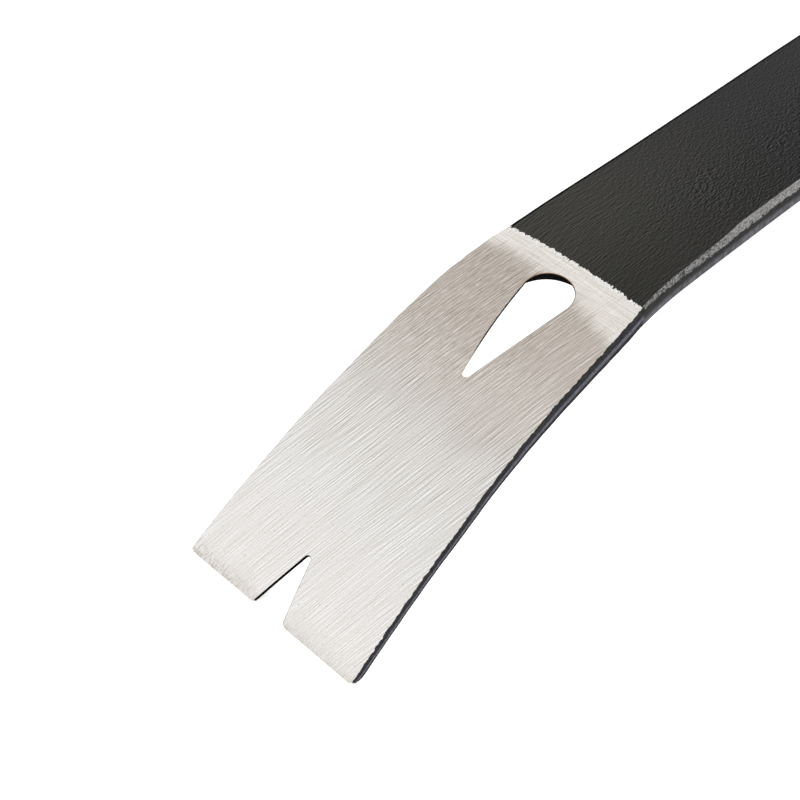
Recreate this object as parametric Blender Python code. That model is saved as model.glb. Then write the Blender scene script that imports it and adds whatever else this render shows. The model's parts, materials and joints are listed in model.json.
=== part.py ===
"""Flat pry bar, modelled the way it is forged: a flat blank is shaped and pierced, then bent.

The blank lies along X: blade tip at the low end, the bend of the blade at x = 0, a straight body, then
the hook. Y runs across it, and its height counts from the body's top face, so the underside is negative.
The blade bends down and the hook curls up. The finished bar rests on its blade tip and on the heel of its
hook, with the origin in the middle of its footprint. Metres, +Z up.
"""

import math

import bmesh
import bpy
import numpy as np

# Lengths along the blank
BLADE_LENGTH = 0.1109
BODY_LENGTH = 0.2351
HOOK_LENGTH = 0.074
COAT_ON_BLADE = 0.0157  # how far the coat runs from the body onto the blade
COAT_ON_HOOK = 0.038

# Each end bends through these angles, each reached at this distance from the body
BLADE_BENDS = ((0.0, 0.0), (0.0566, 0.425), (BLADE_LENGTH, 0.656))
HOOK_BENDS = ((0.0, 0.0), (0.054, 1.466), (HOOK_LENGTH, 1.571))

# Widths and thicknesses at distances from the body, towards each tip
BODY_WIDTH = 0.0339
TIP_WIDTH = 0.045
BODY_THICKNESS = 0.0063
BLADE_WIDTHS = (
    (-0.08, BODY_WIDTH),
    (-0.03, 0.0334),
    (0.0, 0.0336),
    (0.012, 0.0342),
    (0.019, 0.0357),
    (0.034, 0.0381),
    (0.055, 0.0395),
    (0.075, 0.0417),
    (BLADE_LENGTH, TIP_WIDTH),
)
BLADE_THICKNESSES = (
    (-0.03, BODY_THICKNESS),
    (0.012, BODY_THICKNESS),
    (0.02, 0.006),
    (0.03, 0.00535),
    (0.045, 0.0049),
    (0.065, 0.0039),
    (0.085, 0.0034),
    (BLADE_LENGTH, 0.00295),
)
HOOK_WIDTHS = ((-0.03, BODY_WIDTH), (0.01, 0.0343), (HOOK_LENGTH, TIP_WIDTH))
HOOK_THICKNESSES = (
    (-0.03, BODY_THICKNESS),
    (0.02, BODY_THICKNESS),
    (0.045, 0.0048),
    (HOOK_LENGTH, 0.00295),
)

# Edges: the top edges' chamfers grow where the blade becomes the body, the lower edges are rounded
LEFT_CHAMFER = 0.0005
RIGHT_CHAMFER = 0.00115
SHARP_CHAMFER = 0.00015
CHAMFER_STARTS = 0.016
CHAMFER_GROWTH = 0.036
LOWER_RADIUS = 0.0006
RADIUS_STEPS = 3
RADIUS_LIMIT = 0.4  # largest share of the thickness that the lower radius takes
CHAMFER_LIMIT = 0.3
INSET_LOSS = 2 - math.sqrt(2)  # how much a 45 degree chamfer shrinks for each unit of inset

# Tips: a rounded bevel on the inside of each bend leaves a thin edge
BEVEL_LENGTH = 0.0026
BEVEL_STEPS = (0.0, 0.0003, 0.0009, 0.0018)
EDGE_THICKNESS = 0.00035

# Nail slot in the blade, a teardrop that points to the tip
SLOT_CENTRE = (-0.0259, -0.00075)
SLOT_RADIUS = 0.00545
SLOT_POINT = (-0.0501, -0.0006)
SLOT_POINT_RADIUS = 0.0009
SLOT_SIDE_BULGE = 0.0003
SLOT_ROUND_STEPS = 20
SLOT_SIDE_STEPS = 8
POINT_STEPS = 6

# V notches: place of the apex from the tip, the mouth's corners, and the apex's radius
BLADE_NOTCH = {"depth": 0.0137, "mouth": (-0.0036, 0.0045), "apex_y": 0.0003, "apex_radius": 0.0007}
HOOK_NOTCH = {"depth": 0.017, "mouth": (-0.0046, 0.0046), "apex_y": 0.0, "apex_radius": 0.0008}
APEX_STEPS = 8
MOUTH_OVERRUN = 0.004  # how far a notch's cutter runs past the tip

# The slot and the notches are straight for the depth of a land, then widen towards the inside of the bend
SLOT_LAND = 0.0004
NOTCH_LAND = 0.0009
COUNTERSINK = math.tan(math.radians(34))

# The coat lies flush in a shallow recess of the steel
COAT_THICKNESS = 0.0002
COAT_GAP = 0.0001

CURVE_STEP = 0.004
HOOK_STEP = 0.003
BODY_STEP = 0.024
CUTTER_REACH = 0.02
SETTLING_ROUNDS = 20


def smooth(stations, at):
    """Value at a place on the smooth curve through (place, value) stations, which never overshoots."""
    places, values = np.array(stations).T
    slopes = np.diff(values) / np.diff(places)
    both = slopes[:-1] * slopes[1:]
    sums = np.where(both > 0, slopes[:-1] + slopes[1:], 1.0)
    tangents = np.concatenate([slopes[:1], np.where(both > 0, 2 * both / sums, 0.0), slopes[-1:]])
    at = min(max(at, places[0]), places[-1])
    i = min(int(np.searchsorted(places, at, side="right")) - 1, len(slopes) - 1)
    gap = places[i + 1] - places[i]
    t = (at - places[i]) / gap
    start = (1 + 2 * t) * (1 - t) ** 2 * values[i] + t * (1 - t) ** 2 * gap * tangents[i]
    end = t * t * (3 - 2 * t) * values[i + 1] + t * t * (t - 1) * gap * tangents[i + 1]
    return float(start + end)


def arc_point(bends, distance):
    """Forward and sideways travel, and angle turned, at a distance along arcs given as (distance, angle)."""
    forward = 0.0
    sideways = 0.0
    angle = 0.0
    for (start, first), (end, last) in zip(bends, bends[1:]):
        run = min(distance, end) - start
        if run <= 0:
            break
        radius = (end - start) / (last - first)
        angle = first + run / radius
        forward += radius * (math.sin(angle) - math.sin(first))
        sideways += radius * (math.cos(first) - math.cos(angle))
    return forward, sideways, angle


def bend(x, y, height):
    """Moves a point of the flat blank to the bent bar. The body stays where it is."""
    if x < 0:
        forward, sideways, angle = arc_point(BLADE_BENDS, -x)
        return (-forward - height * math.sin(angle), y, height * math.cos(angle) - sideways)
    if x > BODY_LENGTH:
        forward, sideways, angle = arc_point(HOOK_BENDS, x - BODY_LENGTH)
        above = height + BODY_THICKNESS
        x = BODY_LENGTH + forward - above * math.sin(angle)
        return (x, y, sideways - BODY_THICKNESS + above * math.cos(angle))
    return (x, y, height)


def beveled(thickness, from_tip):
    """Thickness of a tip whose inside is rounded off to its edge."""
    along = min(max(from_tip / BEVEL_LENGTH, 0.0), 1.0)
    return EDGE_THICKNESS + (thickness - EDGE_THICKNESS) * math.sqrt(1 - (1 - along) ** 2)


def section_size(x):
    """Width, top and bottom of the blank at x, and how far its top chamfers have grown, from 0 to 1."""
    past = x - BODY_LENGTH
    if x < BODY_LENGTH / 2:
        thickness = beveled(smooth(BLADE_THICKNESSES, -x), BLADE_LENGTH + x)
        grown = min(max((x + CHAMFER_STARTS) / CHAMFER_GROWTH, 0.0), 1.0)
        width = smooth(BLADE_WIDTHS, -x)
        top = 0.0
        bottom = -thickness
    else:
        thickness = beveled(smooth(HOOK_THICKNESSES, past), HOOK_LENGTH - past)
        grown = min(max((COAT_ON_HOOK - past) / CHAMFER_GROWTH, 0.0), 1.0)
        width = smooth(HOOK_WIDTHS, past)
        top = thickness - BODY_THICKNESS
        bottom = -BODY_THICKNESS
    return width, top, bottom, grown * grown * (3 - 2 * grown)


def edge(half, top, bottom, radius, chamfer):
    """Outline of a long edge from the underside to the top face, as (y, height)."""
    points = []
    for step in range(RADIUS_STEPS + 1):
        turn = math.pi / 2 * step / RADIUS_STEPS
        points.append((half - radius + radius * math.sin(turn), bottom + radius - radius * math.cos(turn)))
    return points + [(half, top - chamfer), (half - chamfer, top)]


def ring(x, inset):
    """Outline across the blank at x, drawn in from its surface by inset."""
    width, top, bottom, grown = section_size(x)
    thickness = top - bottom
    radius = min(LOWER_RADIUS, RADIUS_LIMIT * thickness) - inset
    sides = []
    for largest in (LEFT_CHAMFER, RIGHT_CHAMFER):
        chamfer = min(SHARP_CHAMFER + (largest - SHARP_CHAMFER) * grown, CHAMFER_LIMIT * thickness)
        chamfer = max(chamfer - inset * INSET_LOSS, SHARP_CHAMFER / 3)
        sides.append(edge(width / 2 - inset, top - inset, bottom + inset, radius, chamfer))
    left, right = sides
    across = left + [(-y, height) for y, height in reversed(right)]
    return [(x, y, height) for y, height in across]


def steps(start, end, longest):
    """Places from start to end, no further apart than longest."""
    count = math.ceil((end - start) / longest)
    return [start + (end - start) * i / count for i in range(count + 1)]


def own_material(obj, colour, roughness, metallic):
    material = bpy.data.materials.new(obj.name)
    material.use_nodes = True
    shader = material.node_tree.nodes["Principled BSDF"]
    shader.inputs["Base Color"].default_value = (*colour, 1.0)
    shader.inputs["Roughness"].default_value = roughness
    shader.inputs["Metallic"].default_value = metallic
    obj.data.materials.append(material)


def loft(name, rings, tube, collection):
    """Solid through a row of outlines: closed by end caps, or joined end to start as a tube's walls."""
    mesh = bpy.data.meshes.new(name)
    shape = bmesh.new()
    rows = [[shape.verts.new(point) for point in points] for points in rings]
    pairs = list(zip(rows, rows[1:]))
    if tube:
        pairs.append((rows[-1], rows[0]))
    else:
        shape.faces.new(rows[0])
        shape.faces.new(rows[-1])
    for low, high in pairs:
        for i in range(len(low)):
            j = (i + 1) % len(low)
            shape.faces.new((low[i], low[j], high[j], high[i]))
    bmesh.ops.recalc_face_normals(shape, faces=shape.faces)
    shape.to_mesh(mesh)
    shape.free()
    obj = bpy.data.objects.new(name, mesh)
    collection.objects.link(obj)
    return obj


def widened(points, distance):
    """The same convex anticlockwise outline with every side moved outwards by distance."""
    points = np.array(points)
    sides = np.roll(points, -1, 0) - points
    sides /= np.linalg.norm(sides, axis=1)[:, None]
    outward = np.stack([sides[:, 1], -sides[:, 0]], 1)
    both = outward + np.roll(outward, 1, 0)
    return points + distance * both / (both * outward).sum(1)[:, None]


def countersunk_cutter(name, outline, land_end, end, collection):
    """Cuts an outline straight through to the end of its land, then ever wider towards the height of end."""
    wide = widened(outline, COUNTERSINK * abs(end - land_end))
    layers = ((outline, -end), (outline, land_end), (wide, end))
    cutter = loft(name, [[(x, y, height) for x, y in points] for points, height in layers], False, collection)
    cutter.display_type = "WIRE"
    cutter.hide_render = True
    return cutter


def arc(centre, radius, start, end, count):
    turns = [start + (end - start) * i / count for i in range(count + 1)]
    return [(centre[0] + radius * math.cos(a), centre[1] + radius * math.sin(a)) for a in turns]


def slot_outline():
    """Teardrop: a round end, slightly bulging sides, and a small round point towards the blade tip."""
    run = SLOT_CENTRE[0] - SLOT_POINT[0]
    taper = math.asin((SLOT_RADIUS - SLOT_POINT_RADIUS) / run)
    turn = math.pi / 2 + taper
    wide = arc(SLOT_CENTRE, SLOT_RADIUS, -turn, turn, SLOT_ROUND_STEPS)
    point = arc(SLOT_POINT, SLOT_POINT_RADIUS, turn, 2 * math.pi - turn, POINT_STEPS)
    side = []
    for i in range(1, SLOT_SIDE_STEPS):
        t = i / SLOT_SIDE_STEPS
        x = wide[-1][0] + t * (point[0][0] - wide[-1][0])
        y = wide[-1][1] + t * (point[0][1] - wide[-1][1])
        side.append((x, y + SLOT_SIDE_BULGE * math.sin(math.pi * t), t))
    upper = [(x, y) for x, y, t in side]
    lower = []
    for x, y, t in reversed(side):
        axis = SLOT_CENTRE[1] + (SLOT_CENTRE[0] - x) / run * (SLOT_POINT[1] - SLOT_CENTRE[1])
        lower.append((x, 2 * axis - y))
    return wide + upper + point + lower


def notch_outline(depth, mouth, apex_y, apex_radius):
    """V that opens towards -X, with its tip line at x = 0 and a rounded apex at x = depth."""
    centre = (depth - apex_radius, apex_y)
    lower = math.atan((apex_y - mouth[0]) / depth)
    upper = math.atan((mouth[1] - apex_y) / depth)
    apex = arc(centre, apex_radius, lower - math.pi / 2, math.pi / 2 - upper, APEX_STEPS)
    lower_end = (-MOUTH_OVERRUN, mouth[0] - MOUTH_OVERRUN * math.tan(lower))
    upper_end = (-MOUTH_OVERRUN, mouth[1] + MOUTH_OVERRUN * math.tan(upper))
    return [lower_end] + apex + [upper_end]


def pierced_blank(blank, cutters):
    """Cuts the blank and keeps the result as its mesh, in triangles so that it can be bent."""
    for cutter in cutters:
        cut = blank.modifiers.new(cutter.name, "BOOLEAN")
        cut.operation = "DIFFERENCE"
        cut.solver = "EXACT"
        cut.object = cutter
    graph = bpy.context.evaluated_depsgraph_get()
    mesh = bpy.data.meshes.new_from_object(blank.evaluated_get(graph))
    blank.modifiers.clear()
    blank.data = mesh
    shape = bmesh.new()
    shape.from_mesh(mesh)
    bmesh.ops.triangulate(shape, faces=shape.faces)
    shape.to_mesh(mesh)
    shape.free()


def bent(obj):
    for vertex in obj.data.vertices:
        vertex.co = bend(*vertex.co)


def points_of(obj):
    return np.array([vertex.co for vertex in obj.data.vertices])


def settle(objects):
    """Tilts the bar so that blade and hook both touch the ground, and centres it over the origin."""
    points = np.concatenate([points_of(obj) for obj in objects])
    middle = BODY_LENGTH / 2
    tilt = 0.0
    for _ in range(SETTLING_ROUNDS):
        heights = points[:, 2] * math.cos(tilt) - points[:, 0] * math.sin(tilt)
        on_blade = np.where(points[:, 0] < middle, heights, 1.0).argmin()
        on_hook = np.where(points[:, 0] > middle, heights, 1.0).argmin()
        run, _, rise = points[on_hook] - points[on_blade]
        tilt = math.atan2(rise, run)
    turned_x = points[:, 0] * math.cos(tilt) + points[:, 2] * math.sin(tilt)
    turned_z = points[:, 2] * math.cos(tilt) - points[:, 0] * math.sin(tilt)
    shift_x = -(turned_x.min() + turned_x.max()) / 2
    shift_z = -turned_z.min()
    for obj in objects:
        for vertex in obj.data.vertices:
            x, y, z = vertex.co
            vertex.co.x = x * math.cos(tilt) + z * math.sin(tilt) + shift_x
            vertex.co.z = z * math.cos(tilt) - x * math.sin(tilt) + shift_z
    return tilt, shift_x, shift_z


def soften(obj):
    obj.data.shade_smooth()
    obj.data.set_sharp_from_angle(angle=math.radians(30))


def stations():
    """Places of the outlines on the bare blade, under the coat, and on the bare claw."""
    tip = BODY_LENGTH + HOOK_LENGTH
    shoulder_x = -COAT_ON_BLADE - COAT_GAP
    hook_shoulder_x = BODY_LENGTH + COAT_ON_HOOK + COAT_GAP
    blade = [step - BLADE_LENGTH for step in BEVEL_STEPS]
    blade += steps(BEVEL_LENGTH - BLADE_LENGTH, shoulder_x, CURVE_STEP)
    grown = CHAMFER_GROWTH - CHAMFER_STARTS
    covered = steps(shoulder_x, grown, CURVE_STEP) + steps(grown, BODY_LENGTH, BODY_STEP)[1:]
    covered += steps(BODY_LENGTH, hook_shoulder_x, HOOK_STEP)[1:]
    claw = steps(hook_shoulder_x, tip - BEVEL_LENGTH, HOOK_STEP)
    claw += [tip - step for step in reversed(BEVEL_STEPS)]
    return blade, covered, claw


def make_forged_bar(parts, cutters):
    blade, covered, claw = stations()
    recess = COAT_THICKNESS + COAT_GAP
    rings = [ring(x, 0.0) for x in blade]
    rings += [ring(x, recess) for x in covered]
    rings += [ring(x, 0.0) for x in claw]
    bar = loft("forged_bar", rings, False, parts)
    tip = BODY_LENGTH + HOOK_LENGTH
    blade_notch = [(x - BLADE_LENGTH, y) for x, y in notch_outline(**BLADE_NOTCH)]
    hook_notch = [(tip - x, y) for x, y in reversed(notch_outline(**HOOK_NOTCH))]
    hook_land_end = NOTCH_LAND - BODY_THICKNESS
    cuts = (
        ("nail_slot", slot_outline(), -SLOT_LAND, -CUTTER_REACH),
        ("blade_notch", blade_notch, -NOTCH_LAND, -CUTTER_REACH),
        ("hook_notch", hook_notch, hook_land_end, CUTTER_REACH),
    )
    pierced_blank(bar, [countersunk_cutter(*cut, cutters) for cut in cuts])
    own_material(bar, (0.72, 0.69, 0.65), 0.35, 1.0)
    return bar


def make_black_coating(parts):
    covered = stations()[1]
    covered[0] += COAT_GAP
    covered[-1] -= COAT_GAP
    outer = [ring(x, 0.0) for x in covered]
    inner = [ring(x, COAT_THICKNESS) for x in reversed(covered)]
    coat = loft("black_coating", outer + inner, True, parts)
    own_material(coat, (0.03, 0.03, 0.031), 0.45, 0.0)
    return coat


def main():
    for obj in list(bpy.data.objects):
        bpy.data.objects.remove(obj)
    parts = bpy.data.collections.new("pry_bar")
    cutters = bpy.data.collections.new("cutters")
    bpy.context.scene.collection.children.link(parts)
    bpy.context.scene.collection.children.link(cutters)
    pieces = [make_forged_bar(parts, cutters), make_black_coating(parts)]
    for piece in pieces:
        bent(piece)
    settle(pieces)
    for piece in pieces:
        soften(piece)


main()
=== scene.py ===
"""Looks of the flat pry bar: ground steel at both ends and black paint over the forged body.

Each piece is made on the flat blank and then bent and laid down like the CAD bar. On the blank, X runs from
the blade tip (negative) over the body (from 0) to the hook tip, Y runs across, and height counts from the
body's top face. Places and sizes are in metres. The meshes' point attributes are in millimetres, except
the depth, which is a share of the thickness.
"""

import json
import math

import bpy
import numpy as np
from mathutils import Matrix, Vector
from mathutils.geometry import delaunay_2d_cdt


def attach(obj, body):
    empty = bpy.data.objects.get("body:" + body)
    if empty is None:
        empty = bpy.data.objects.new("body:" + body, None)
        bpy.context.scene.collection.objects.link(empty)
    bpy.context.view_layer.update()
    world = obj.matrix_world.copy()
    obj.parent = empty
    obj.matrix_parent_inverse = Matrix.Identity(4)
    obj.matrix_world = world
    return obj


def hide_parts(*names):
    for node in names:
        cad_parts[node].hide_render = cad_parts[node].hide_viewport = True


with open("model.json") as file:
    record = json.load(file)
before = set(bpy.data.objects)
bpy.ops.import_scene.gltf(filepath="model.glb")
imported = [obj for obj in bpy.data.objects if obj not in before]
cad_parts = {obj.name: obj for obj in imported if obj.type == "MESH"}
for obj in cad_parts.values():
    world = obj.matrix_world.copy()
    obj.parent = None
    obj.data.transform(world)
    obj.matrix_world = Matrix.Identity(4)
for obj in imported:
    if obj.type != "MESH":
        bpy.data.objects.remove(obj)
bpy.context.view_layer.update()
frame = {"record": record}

MM = 0.001

# The bar's own sizes, as in the CAD model
BLADE_LENGTH = 0.1109
BODY_LENGTH = 0.2351
HOOK_LENGTH = 0.074
HOOK_TIP = BODY_LENGTH + HOOK_LENGTH
BODY_WIDTH = 0.0339
TIP_WIDTH = 0.045
BODY_THICKNESS = 0.0063
BLADE_BENDS = ((0.0, 0.0), (0.0566, 0.425), (BLADE_LENGTH, 0.656))
HOOK_BENDS = ((0.0, 0.0), (0.054, 1.466), (HOOK_LENGTH, 1.571))
BLADE_WIDTHS = (
    (-0.08, BODY_WIDTH),
    (-0.03, 0.0334),
    (0.0, 0.0336),
    (0.012, 0.0342),
    (0.019, 0.0357),
    (0.034, 0.0381),
    (0.055, 0.0395),
    (0.075, 0.0417),
    (BLADE_LENGTH, TIP_WIDTH),
)
BLADE_THICKNESSES = (
    (-0.03, BODY_THICKNESS),
    (0.012, BODY_THICKNESS),
    (0.02, 0.006),
    (0.03, 0.00535),
    (0.045, 0.0049),
    (0.065, 0.0039),
    (0.085, 0.0034),
    (BLADE_LENGTH, 0.00295),
)
HOOK_WIDTHS = ((-0.03, BODY_WIDTH), (0.01, 0.0343), (HOOK_LENGTH, TIP_WIDTH))
HOOK_THICKNESSES = (
    (-0.03, BODY_THICKNESS),
    (0.02, BODY_THICKNESS),
    (0.045, 0.0048),
    (HOOK_LENGTH, 0.00295),
)
BEVEL_LENGTH = 0.0026
EDGE_THICKNESS = 0.00035
SLOT_CENTRE = (-0.0259, -0.00075)
SLOT_RADIUS = 0.00545
SLOT_POINT = (-0.0501, -0.0006)
SLOT_POINT_RADIUS = 0.0009
SLOT_SIDE_BULGE = 0.0003
BLADE_NOTCH = {"depth": 0.0137, "mouth": (-0.0036, 0.0045), "apex_y": 0.0003, "apex_radius": 0.0007}
HOOK_NOTCH = {"depth": 0.017, "mouth": (-0.0046, 0.0046), "apex_y": 0.0, "apex_radius": 0.0008}
SLOT_LAND = 0.0004
NOTCH_LAND = 0.0009
COUNTERSINK = math.tan(math.radians(34))
LOWER_RADIUS = 0.0006
HALF_TIP = TIP_WIDTH / 2 - 0.01 * MM  # a hair inside the CAD model's tips
TIP_RUN = 0.0013  # how far before the tips the long sides end
CUTS_WITHIN = 0.4 * BODY_WIDTH  # the slot and the notches lie this near the middle line
MOUNT_PLACE = 0.1  # where the record's body_top mount sits along the bar

# Paint: where it ends, how thick it is, how curved its end line is, and how long it takes to thin out
COAT_ON_BLADE = 0.0157
COAT_ON_HOOK = 0.038
COAT_END = BODY_LENGTH + COAT_ON_HOOK
COAT = 0.00012
INNER_COAT = 0.85 * COAT  # how far the sleeve's inside lies below its outside
PAINT_LINE_CURVE = 2.6  # metres along the bar per square metre across it
THINNING = 0.0024
COVER_START = 0.006  # how far before the paint's end the steel starts to sink under it
COVER_RUN = 0.004

# Top edges: how far the chamfer reaches across and down at places along the bar
BURR = 0.00013
RIGHT_CHAMFER_ACROSS = (
    (-0.0172, BURR),
    (-0.015, 0.0003),
    (-0.008, 0.00042),
    (0.0, 0.00045),
    (0.01, 0.0006),
    (0.0155, 0.0009),
    (0.019, 0.00118),
    (0.03, 0.00118),
    (0.037, 0.0011),
)
RIGHT_CHAMFER_DOWN = (
    (-0.0172, BURR),
    (-0.0155, 0.0008),
    (-0.008, 0.00115),
    (0.0, 0.00145),
    (0.01, 0.00135),
    (0.02, 0.0012),
    (0.037, 0.0013),
)
LEFT_CHAMFER = ((-0.0172, BURR), (0.0, 0.0003), (0.02, 0.0005))
HOOK_CHAMFER_GROWTH = 0.03

# Long edges: how far their sides bulge, and how far from the tips that and their waves take to grow
SIDE_BULGE = 0.0001
BULGE_GROWTH = 0.008
EDGE_WAVES_GROWTH = 0.012

# How far the body's middle line strays sideways
SIDE_DRIFT = ((-0.02, 0.0), (0.03, 0.0003), (0.08, 0.00045), (0.16, 0.0002), (BODY_LENGTH, 0.0))

# Waves that forging left in the faces: length, strength, shift along the bar, and seed. The body's are
# deeper than the ground ends', and take a while to grow.
FORGING_WAVES = ((0.021, 1.0, 0.0, 21), (0.009, 0.6, 0.5, 22), (0.0045, 0.3, 0.0, 23))
GROUND_DEPTH = 0.000008
FORGED_DEPTH = 0.000045
FORGED_START = -0.02
FORGED_RUN = 0.03

# How fine the meshes are: rows down an edge on its chamfer, side and lower rounding, columns, and
# points at a tip's corner
STEEL_EDGE_ROWS = (3, 10, 6)
COAT_EDGE_ROWS = (7, 16, 6)
COAT_TOP_COLUMNS = 264
COAT_UNDER_COLUMNS = 80
BLUNT_POINTS = 7
FACE_CLEARANCE = 0.0003  # how far a face's inner points stay from its outlines
SHARP_ANGLE = math.radians(28)

# The camera, in the body's own frame: from, at, lens, and roll about the line of sight
VIEW_FROM = (-0.23473, -0.14655, 0.21819)
VIEW_AT = (-0.07083, -0.00302, 0.0)
VIEW_LENS = 75.38
VIEW_ROLL = math.radians(-2.018)


# ---- Numbers -------------------------------------------------------------------------------------


def smooth(stations, at):
    """Values at places on the smooth curve through (place, value) stations, which never overshoots."""
    places, values = np.array(stations).T
    slopes = np.diff(values) / np.diff(places)
    both = slopes[:-1] * slopes[1:]
    sums = np.where(both > 0, slopes[:-1] + slopes[1:], 1.0)
    tangents = np.concatenate([slopes[:1], np.where(both > 0, 2 * both / sums, 0.0), slopes[-1:]])
    at = np.clip(at, places[0], places[-1])
    i = np.clip(np.searchsorted(places, at, side="right") - 1, 0, len(slopes) - 1)
    gap = places[i + 1] - places[i]
    t = (at - places[i]) / gap
    start = (1 + 2 * t) * (1 - t) ** 2 * values[i] + t * (1 - t) ** 2 * gap * tangents[i]
    end = t * t * (3 - 2 * t) * values[i + 1] + t * t * (t - 1) * gap * tangents[i + 1]
    return start + end


def ease(t):
    """0 to 1 with flat ends."""
    t = np.clip(t, 0.0, 1.0)
    return t * t * (3 - 2 * t)


def wander(at, scale, seed):
    """Smooth random values from -1 to 1 along a line, changing over about scale."""
    at = np.asarray(at) / scale
    low = int(math.floor(at.min()))
    knots = np.random.default_rng(seed).uniform(-1, 1, int(math.floor(at.max())) - low + 2)
    i = np.floor(at).astype(int)
    t = ease(at - i)
    return knots[i - low] * (1 - t) + knots[i - low + 1] * t


def swell(x, y, scale, seed):
    """Smooth random values from -1 to 1 over a surface, changing over about scale."""
    long, wide = 256, 64
    x, y = x / scale, y / scale
    i, j = np.floor(x).astype(int), np.floor(y).astype(int)
    s, t = ease(x - i), ease(y - j)
    knots = np.random.default_rng(seed).uniform(-1, 1, (long, wide))
    near = knots[i % long, j % wide] * (1 - s) + knots[(i + 1) % long, j % wide] * s
    far = knots[i % long, (j + 1) % wide] * (1 - s) + knots[(i + 1) % long, (j + 1) % wide] * s
    return near * (1 - t) + far * t


def steps(start, end, longest):
    """Places from start to end, no further apart than longest."""
    return np.linspace(start, end, max(1, math.ceil(abs(end - start) / longest - 1e-6)) + 1)


# ---- The bar's form --------------------------------------------------------------------------------


def arc_points(bends, distance):
    """Forward and sideways travel, and angle turned, at distances along arcs given as (distance, angle)."""
    forward = np.zeros_like(distance)
    sideways = np.zeros_like(distance)
    angle = np.zeros_like(distance)
    for (start, first), (end, last) in zip(bends, bends[1:]):
        radius = (end - start) / (last - first)
        turned = first + np.clip(distance - start, 0, end - start) / radius
        forward += radius * (np.sin(turned) - math.sin(first))
        sideways += radius * (math.cos(first) - np.cos(turned))
        angle = np.where(distance > start, turned, angle)
    return forward, sideways, angle


def bend(points):
    """Moves points of the flat blank to the bent bar. The body stays where it is."""
    x, y, height = points.T
    down_x, down_z, down = arc_points(BLADE_BENDS, np.clip(-x, 0, None))
    up_x, up_z, up = arc_points(HOOK_BENDS, np.clip(x - BODY_LENGTH, 0, None))
    above = height + BODY_THICKNESS
    blade = np.stack([-down_x - height * np.sin(down), y, height * np.cos(down) - down_z], 1)
    hook_x = BODY_LENGTH + up_x - above * np.sin(up)
    hook = np.stack([hook_x, y, up_z - BODY_THICKNESS + above * np.cos(up)], 1)
    bent = np.where((x < 0)[:, None], blade, points)
    return np.where((x > BODY_LENGTH)[:, None], hook, bent)


def rest_tilt():
    """Angle and shift that lay the bar down, from the mount on the body's top face."""
    mount = next(m for m in frame["record"]["mounts"] if m["name"] == "body_top")
    x, _, z = mount["pos_m"]
    lean, _, up = mount["axis"]
    tilt = math.atan2(lean, up)
    return tilt, x - MOUNT_PLACE * math.cos(tilt), z + MOUNT_PLACE * math.sin(tilt)


TILT, SHIFT_X, SHIFT_Z = rest_tilt()


def laid_down(points):
    """From the body's own frame to the row frame."""
    x, y, z = np.asarray(points).T
    turned_x = x * math.cos(TILT) + z * math.sin(TILT) + SHIFT_X
    return np.stack([turned_x, y, z * math.cos(TILT) - x * math.sin(TILT) + SHIFT_Z], -1)


def to_tip(x):
    """Distance along the blank to the nearer tip."""
    return np.minimum(x + BLADE_LENGTH, HOOK_TIP - x)


def form(x):
    """Half width, top and bottom of the blank at each x."""
    past = x - BODY_LENGTH
    on_hook = x > BODY_LENGTH / 2
    thickness = np.where(on_hook, smooth(HOOK_THICKNESSES, past), smooth(BLADE_THICKNESSES, -x))
    rounded = np.sqrt(1 - (1 - np.clip(to_tip(x) / BEVEL_LENGTH, 0, 1)) ** 2)
    thickness = EDGE_THICKNESS + (thickness - EDGE_THICKNESS) * rounded
    half = np.where(on_hook, smooth(HOOK_WIDTHS, past), smooth(BLADE_WIDTHS, -x)) / 2 + BURR
    half = np.minimum(half, HALF_TIP)
    top = np.where(on_hook, thickness - BODY_THICKNESS, 0.0)
    bottom = np.where(on_hook, -BODY_THICKNESS, -thickness)
    return half, top, bottom


def drift(x):
    """How far the forging wanders sideways from straight."""
    return smooth(SIDE_DRIFT, x)


def chamfers(x, side):
    """How far the top edge's chamfer reaches across and down. The side is 1 for left and -1 for right."""
    left = smooth(LEFT_CHAMFER, x)
    across = np.where(side > 0, left, smooth(RIGHT_CHAMFER_ACROSS, x))
    down = np.where(side > 0, left, smooth(RIGHT_CHAMFER_DOWN, x))
    shown = ease((COAT_END - x) / HOOK_CHAMFER_GROWTH)
    return BURR + (across - BURR) * shown, BURR + (down - BURR) * shown


def dip(x, y):
    """How far forging and grinding left the faces below true: more on the body than on the ground ends."""
    on_body = ease((x - FORGED_START) / FORGED_RUN) * ease((COAT_END - x) / FORGED_RUN)
    waves = sum(part * swell(x + shift, y, length, seed) for length, part, shift, seed in FORGING_WAVES)
    total = sum(part for _, part, _, _ in FORGING_WAVES)
    return (GROUND_DEPTH + FORGED_DEPTH * on_body) * (1 + waves / total)


def side_profile(thickness, across, down, bulge, rows):
    """Rows down a long edge, from the top face to the underside: inset from true width, and drop."""
    chamfer_rows, side_rows, round_rows = rows
    bulge = np.broadcast_to(bulge, thickness.shape)
    limit = 0.3 * thickness
    across, down = np.minimum(across, limit), np.minimum(down, limit)
    radius = np.minimum(LOWER_RADIUS, limit)
    height = thickness - down - radius
    inset, drop = [], []
    for t in np.linspace(0, 1, chamfer_rows + 1)[:-1]:
        inset.append(across * (1 - t))
        drop.append(down * t)
    for t in np.linspace(0, 1, side_rows + 1)[:-1]:
        inset.append(bulge * ((2 * t - 1) ** 2 - 1))
        drop.append(down + t * height)
    for a in np.linspace(0, math.pi / 2, round_rows + 1):
        inset.append(radius * (1 - math.cos(a)))
        drop.append(thickness - radius + radius * math.sin(a))
    return np.array(inset), np.array(drop)


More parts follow.
